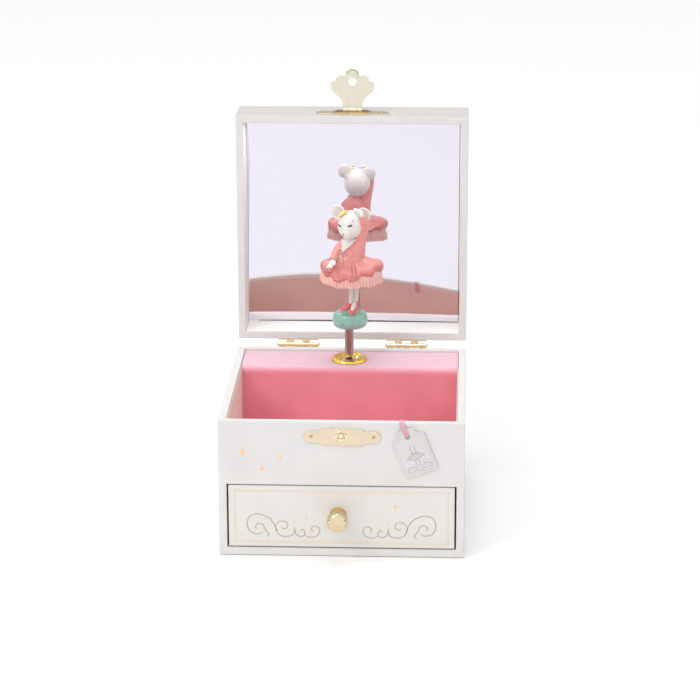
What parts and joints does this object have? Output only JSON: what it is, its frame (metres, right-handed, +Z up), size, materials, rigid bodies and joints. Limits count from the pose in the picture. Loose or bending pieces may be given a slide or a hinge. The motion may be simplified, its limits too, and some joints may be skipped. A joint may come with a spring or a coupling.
{
  "type": "musical jewellery box",
  "caption": "Square papered musical jewellery box with a mirrored hinged lid, a lined tray, a drawer, a hasp, a gift tag and a lift-off dancer that turns on a clockwork spindle.",
  "frame": {"origin": "centre of the underside of the case", "axes": "+Z up, +Y to the back, +X to the viewer's right of the drawer; the lid is open at a right angle at rest"},
  "size_m": [0.12, 0.1592, 0.2177],
  "materials": {
    "white_paper": "satin",
    "drawer_paper": "satin",
    "grey_board": "matt",
    "pink_satin": "satin",
    "blush_cover": "satin",
    "gold": "polished",
    "pale_gold": "polished",
    "brass": "satin",
    "steel": "satin",
    "silvered_glass": "polished",
    "green_resin": "satin",
    "painted_resin": "satin",
    "tag_card": "satin",
    "ribbon": "satin"
  },
  "bodies": {
    "case": {"left_side_panel": "white_paper", "right_side_panel": "white_paper", "base_panel": "white_paper", "front_panel": "white_paper", "back_panel": "white_paper", "tray_floor": "grey_board", "partition": "pink_satin", "platform": "blush_cover", "tray_lining": "pink_satin", "spindle_ferrule": "gold", "hinge_case_leaf_left": "gold", "hinge_case_leaf_right": "gold", "hinge_pin_left": "gold", "hinge_pin_right": "gold", "strike_plate": "pale_gold", "strike_nail_left": "pale_gold", "strike_nail_right": "pale_gold", "ribbon_inside": "ribbon", "movement_bedplate": "steel", "movement_screw_1": "steel", "movement_screw_2": "steel", "comb": "steel", "comb_screw_1": "brass", "comb_screw_2": "brass", "train_bracket": "brass", "governor_bracket": "brass"},
    "drawer": {"drawer_front": "drawer_paper", "drawer_left_side": "drawer_paper", "drawer_right_side": "drawer_paper", "drawer_back": "drawer_paper", "drawer_bottom": "grey_board", "drawer_lining": "pink_satin", "drawer_knob": "gold", "knob_screw": "steel"},
    "lid": {"lid_top_panel": "white_paper", "lid_left_rail": "white_paper", "lid_right_rail": "white_paper", "lid_front_rail": "white_paper", "lid_back_rail": "white_paper", "mirror": "silvered_glass", "hinge_lid_leaf_left": "gold", "hinge_lid_leaf_right": "gold", "hasp_base": "pale_gold", "hasp_pin": "pale_gold", "hasp_nail_left": "pale_gold", "hasp_nail_right": "pale_gold"},
    "hasp": {"hasp_plate": "pale_gold"},
    "tag": {"gift_tag": "tag_card", "ribbon_tail": "ribbon"},
    "key": {"winding_arbor": "steel", "winding_key": "brass"},
    "barrel": {"spring_barrel": "brass", "mainspring": "steel"},
    "cylinder": {"cylinder_arbor": "brass", "pinned_cylinder": "brass"},
    "spindle": {"dancer_spindle": "steel"},
    "governor": {"governor_fan": "brass"},
    "dancer_seat": {"dancer_magnet": "steel"},
    "dancer": {"dancer_dome": "green_resin", "dancer": "painted_resin"}
  },
  "joints": [
    {"name": "lid_hinge", "type": "hinge", "parent": "case", "child": "lid", "pos_m": [0, 0.063, 0.0698], "axis": [1, 0, 0], "range_deg": [0, 90]},
    {"name": "hasp_hinge", "type": "hinge", "parent": "lid", "child": "hasp", "pos_m": [0, 0.0703, 0.1947], "axis": [1, 0, 0], "range_deg": [-90, 90]},
    {"name": "drawer_slide", "type": "slide", "parent": "case", "child": "drawer", "axis": [0, -1, 0], "range_m": [0, 0.06]},
    {"name": "tag_swing", "type": "hinge", "parent": "case", "child": "tag", "pos_m": [0.0283, -0.0606, 0.0694], "axis": [-1, 0, 0], "range_deg": [0, 60]},
    {"name": "key_wind", "type": "hinge", "parent": "case", "child": "key", "pos_m": [-0.024, 0.062, 0.034], "axis": [0, 1, 0], "continuous": true},
    {"name": "barrel_spin", "type": "hinge", "parent": "case", "child": "barrel", "pos_m": [-0.024, 0.05, 0.034], "axis": [0, 1, 0], "continuous": true},
    {"name": "cylinder_spin", "type": "hinge", "parent": "case", "child": "cylinder", "pos_m": [0.018, 0.0429, 0.034], "axis": [1, 0, 0], "continuous": true},
    {"name": "spindle_spin", "type": "hinge", "parent": "case", "child": "spindle", "pos_m": [-0.0007, 0.0429, 0.06], "axis": [0, 0, 1], "continuous": true},
    {"name": "governor_spin", "type": "hinge", "parent": "case", "child": "governor", "pos_m": [0.0318, 0.0429, 0.04445], "axis": [0, 1, 0], "continuous": true},
    {"name": "dancer_stow", "type": "hinge", "parent": "case", "child": "dancer_seat", "pos_m": [-0.0007, 0.0429, 0.059], "axis": [1, 0, 0], "range_deg": [0, 90]},
    {"name": "dancer_spin", "type": "hinge", "parent": "dancer_seat", "child": "dancer", "pos_m": [-0.0007, 0.0429, 0.09], "axis": [0, 0, 1], "continuous": true}
  ],
  "couplings": [
    {"joint": "cylinder_spin", "follows": "barrel_spin", "ratio": -2.6667},
    {"joint": "spindle_spin", "follows": "barrel_spin", "ratio": 5.3333},
    {"joint": "dancer_spin", "follows": "barrel_spin", "ratio": 5.3333},
    {"joint": "governor_spin", "follows": "barrel_spin", "ratio": -24.889},
    {"joint": "dancer_stow", "follows": "lid_hinge", "ratio": 1}
  ]
}
